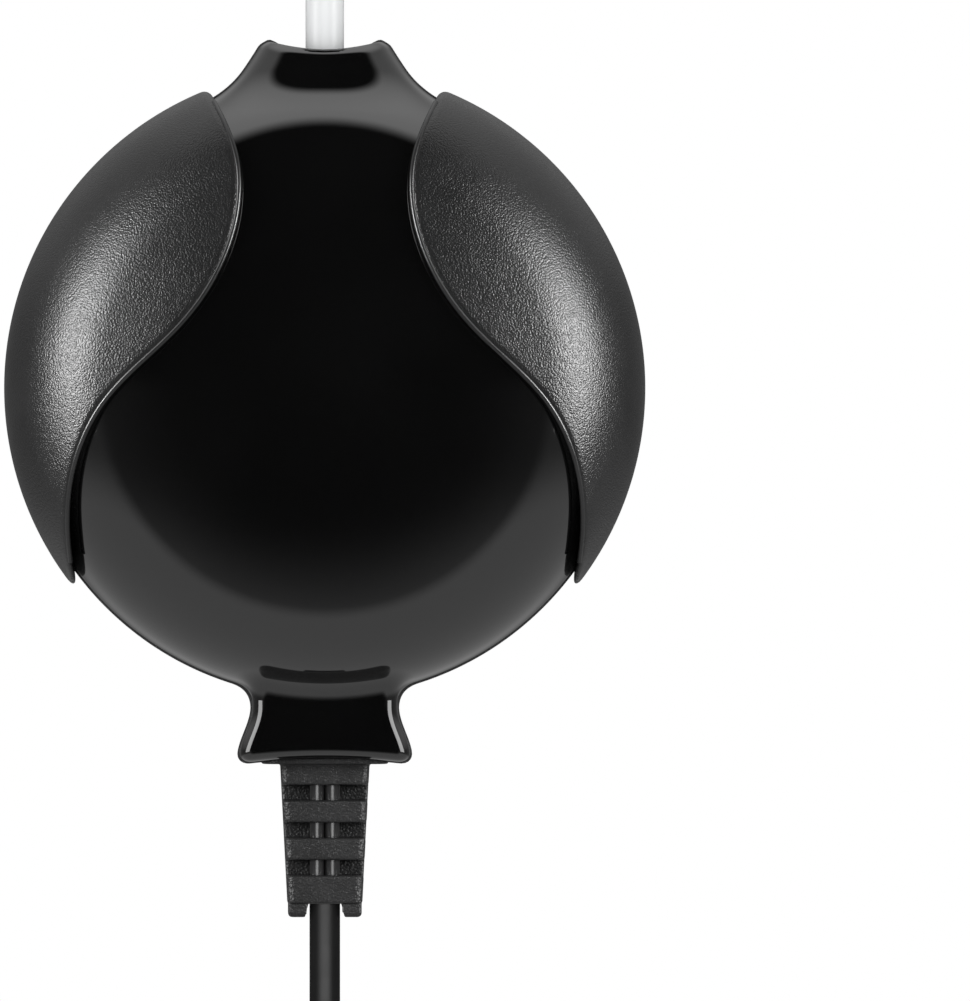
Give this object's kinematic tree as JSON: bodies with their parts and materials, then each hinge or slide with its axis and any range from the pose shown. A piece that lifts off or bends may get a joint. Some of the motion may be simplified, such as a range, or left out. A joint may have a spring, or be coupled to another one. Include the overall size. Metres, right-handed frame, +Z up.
{
  "type": "aquarium air pump",
  "caption": "Round vibrating-diaphragm aquarium air pump with side grips, a suction cup, an airline tube with a one-way valve and a mains lead.",
  "frame": {"origin": "centre of the suction cup's rim, on the glass it holds to", "axes": "+Y from the round front to the glass, +Z up out of the air outlet, +X to the right seen from the front"},
  "size_m": [0.1303, 0.12, 0.2506],
  "materials": {
    "gloss_black": "polished piano black ABS",
    "matte_black": "fine spark-eroded ABS",
    "grip_black": "satin grained soft-touch plastic",
    "soft_black": "matt rubber",
    "clear_rubber": "translucent soft vinyl",
    "silicone": "translucent milky silicone",
    "white_plastic": "moulded natural acetal",
    "felt": "pressed felt",
    "screw_steel": "zinc plated",
    "core_steel": "stacked silicon steel sheets",
    "copper_wire": "enamelled copper",
    "tape": "polyester tape",
    "magnet": "sintered ferrite",
    "core_insulation": "smooth vinyl",
    "cord_vinyl": "satin vinyl",
    "plug_brass": "nickel plated brass",
    "valve_clear": "clear moulded plastic",
    "valve_white": "white moulded plastic"
  },
  "bodies": {
    "pump": {"front_shell": "gloss_black", "rear_shell": "matte_black", "grip_panel_left": "grip_black", "grip_panel_right": "grip_black", "shell_gasket": "soft_black", "shell_screws": "screw_steel", "screw_caps": "soft_black", "suction_cup": "clear_rubber", "filter_cover": "matte_black", "filter_felt": "felt", "intake_muffler_foam": "felt", "outlet_nipple": "white_plastic", "nipple_seal": "soft_black", "internal_hose": "silicone", "valve_block": "white_plastic", "valve_gasket": "soft_black", "valve_cover": "white_plastic", "valve_screws": "screw_steel", "diaphragm_clamp_ring": "white_plastic", "isolator_pads": "soft_black", "core_laminations": "core_steel", "coil_bobbin": "white_plastic", "coil_winding": "copper_wire", "coil_tape": "tape", "core_bracket": "screw_steel", "core_screws": "screw_steel", "pivot_bracket": "screw_steel", "pivot_screws": "screw_steel", "pivot_pin": "screw_steel", "pivot_bushes": "soft_black", "lead_wire_live": "core_insulation", "lead_wire_neutral": "core_insulation", "crimp_connectors": "tape", "coil_tail_live": "copper_wire", "coil_tail_neutral": "copper_wire", "thermal_fuse": "screw_steel", "cord_strain_relief": "cord_vinyl", "cord_cores": "core_insulation", "power_cord": "cord_vinyl", "power_cord_coil": "cord_vinyl", "cord_tie": "soft_black", "power_cord_tail": "cord_vinyl", "plug_body": "cord_vinyl", "plug_blades": "plug_brass", "airline_tube": "silicone", "check_valve_inlet": "valve_clear", "check_valve_outlet": "valve_white"},
    "arm": {"swing_arm": "white_plastic", "arm_magnets": "magnet", "diaphragm_plates": "white_plastic", "diaphragm_bolt": "screw_steel", "diaphragm": "soft_black"},
    "intake_flap": {"intake_flap": "soft_black"},
    "exhaust_flap": {"exhaust_flap": "soft_black"},
    "check_valve_flap": {"check_valve_flap": "soft_black"}
  },
  "joints": [
    {"name": "arm_swing", "type": "hinge", "parent": "pump", "child": "arm", "pos_m": [-0.01, -0.025, 0.032], "axis": [0, 1, 0], "range_deg": [-2, 2], "stiffness_Nm_per_rad": 1.8},
    {"name": "intake_flap_lift", "type": "hinge", "parent": "pump", "child": "intake_flap", "pos_m": [0.00945, -0.0305, 0.0135], "axis": [0, 1, 0], "range_deg": [0, 8], "stiffness_Nm_per_rad": 0.0001},
    {"name": "exhaust_flap_lift", "type": "hinge", "parent": "pump", "child": "exhaust_flap", "pos_m": [0.01505, -0.0195, 0.0135], "axis": [0, -1, 0], "range_deg": [0, 12], "stiffness_Nm_per_rad": 0.0001},
    {"name": "check_valve_lift", "type": "slide", "parent": "pump", "child": "check_valve_flap", "axis": [0, 0, 1], "range_m": [0, 0.001]}
  ]
}
